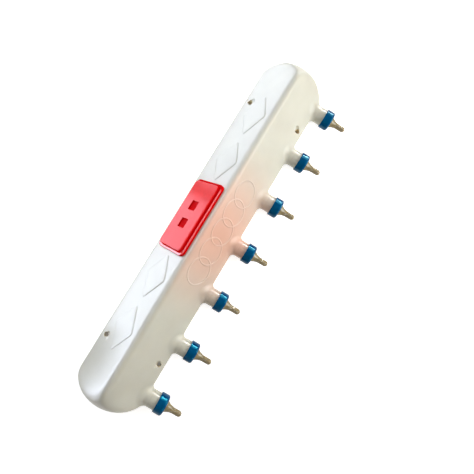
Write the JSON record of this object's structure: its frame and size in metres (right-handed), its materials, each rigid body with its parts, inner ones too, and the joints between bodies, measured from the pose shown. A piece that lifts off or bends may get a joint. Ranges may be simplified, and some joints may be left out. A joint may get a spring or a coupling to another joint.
{
  "type": "multi teat lamb feeder",
  "caption": "Long flat-backed milk tank with a row of soft teats held by screw caps along its lower front edge and a lift-off filler lid on its upper face.",
  "frame": {"origin": "centre of the tank's flat back face", "axes": "+X along the tank, -Y the way the teats point, +Z out of the flat back towards the ridge"},
  "size_m": [0.736, 0.2005, 0.0984],
  "materials": {
    "tank_plastic": "translucent natural polyethylene, satin",
    "lid_plastic": "glossy red",
    "cap_plastic": "glossy blue",
    "teat_rubber": "amber latex, satin"
  },
  "bodies": {
    "tank": {"tank": "tank_plastic"},
    "lid": {"lid": "lid_plastic"},
    "teat_1": {"teat_1": "teat_rubber"},
    "teat_2": {"teat_2": "teat_rubber"},
    "teat_3": {"teat_3": "teat_rubber"},
    "teat_4": {"teat_4": "teat_rubber"},
    "teat_5": {"teat_5": "teat_rubber"},
    "teat_6": {"teat_6": "teat_rubber"},
    "teat_7": {"teat_7": "teat_rubber"},
    "cap_1": {"cap_1": "cap_plastic"},
    "cap_2": {"cap_2": "cap_plastic"},
    "cap_3": {"cap_3": "cap_plastic"},
    "cap_4": {"cap_4": "cap_plastic"},
    "cap_5": {"cap_5": "cap_plastic"},
    "cap_6": {"cap_6": "cap_plastic"},
    "cap_7": {"cap_7": "cap_plastic"}
  },
  "joints": [
    {"name": "lid_lift", "type": "slide", "parent": "tank", "child": "lid", "axis": [0, 0.7373, 0.6756], "range_m": [0, 0.06]},
    {"name": "teat_1_draw", "type": "slide", "parent": "tank", "child": "teat_1", "axis": [0, -1, 0], "range_m": [0, 0.0046]},
    {"name": "cap_1_turn", "type": "hinge", "parent": "teat_1", "child": "cap_1", "pos_m": [-0.315, -0.094, 0.024], "axis": [0, -1, 0], "range_deg": [0, 540]},
    {"name": "teat_2_draw", "type": "slide", "parent": "tank", "child": "teat_2", "axis": [0, -1, 0], "range_m": [0, 0.0046]},
    {"name": "cap_2_turn", "type": "hinge", "parent": "teat_2", "child": "cap_2", "pos_m": [-0.21, -0.094, 0.024], "axis": [0, -1, 0], "range_deg": [0, 540]},
    {"name": "teat_3_draw", "type": "slide", "parent": "tank", "child": "teat_3", "axis": [0, -1, 0], "range_m": [0, 0.0046]},
    {"name": "cap_3_turn", "type": "hinge", "parent": "teat_3", "child": "cap_3", "pos_m": [-0.105, -0.094, 0.024], "axis": [0, -1, 0], "range_deg": [0, 540]},
    {"name": "teat_4_draw", "type": "slide", "parent": "tank", "child": "teat_4", "axis": [0, -1, 0], "range_m": [0, 0.0046]},
    {"name": "cap_4_turn", "type": "hinge", "parent": "teat_4", "child": "cap_4", "pos_m": [0, -0.094, 0.024], "axis": [0, -1, 0], "range_deg": [0, 540]},
    {"name": "teat_5_draw", "type": "slide", "parent": "tank", "child": "teat_5", "axis": [0, -1, 0], "range_m": [0, 0.0046]},
    {"name": "cap_5_turn", "type": "hinge", "parent": "teat_5", "child": "cap_5", "pos_m": [0.105, -0.094, 0.024], "axis": [0, -1, 0], "range_deg": [0, 540]},
    {"name": "teat_6_draw", "type": "slide", "parent": "tank", "child": "teat_6", "axis": [0, -1, 0], "range_m": [0, 0.0046]},
    {"name": "cap_6_turn", "type": "hinge", "parent": "teat_6", "child": "cap_6", "pos_m": [0.21, -0.094, 0.024], "axis": [0, -1, 0], "range_deg": [0, 540]},
    {"name": "teat_7_draw", "type": "slide", "parent": "tank", "child": "teat_7", "axis": [0, -1, 0], "range_m": [0, 0.0046]},
    {"name": "cap_7_turn", "type": "hinge", "parent": "teat_7", "child": "cap_7", "pos_m": [0.315, -0.094, 0.024], "axis": [0, -1, 0], "range_deg": [0, 540]}
  ],
  "couplings": [
    {"joint": "teat_1_draw", "follows": "cap_1_turn", "m_per_rad": 0.00047746},
    {"joint": "teat_2_draw", "follows": "cap_2_turn", "m_per_rad": 0.00047746},
    {"joint": "teat_3_draw", "follows": "cap_3_turn", "m_per_rad": 0.00047746},
    {"joint": "teat_4_draw", "follows": "cap_4_turn", "m_per_rad": 0.00047746},
    {"joint": "teat_5_draw", "follows": "cap_5_turn", "m_per_rad": 0.00047746},
    {"joint": "teat_6_draw", "follows": "cap_6_turn", "m_per_rad": 0.00047746},
    {"joint": "teat_7_draw", "follows": "cap_7_turn", "m_per_rad": 0.00047746}
  ]
}
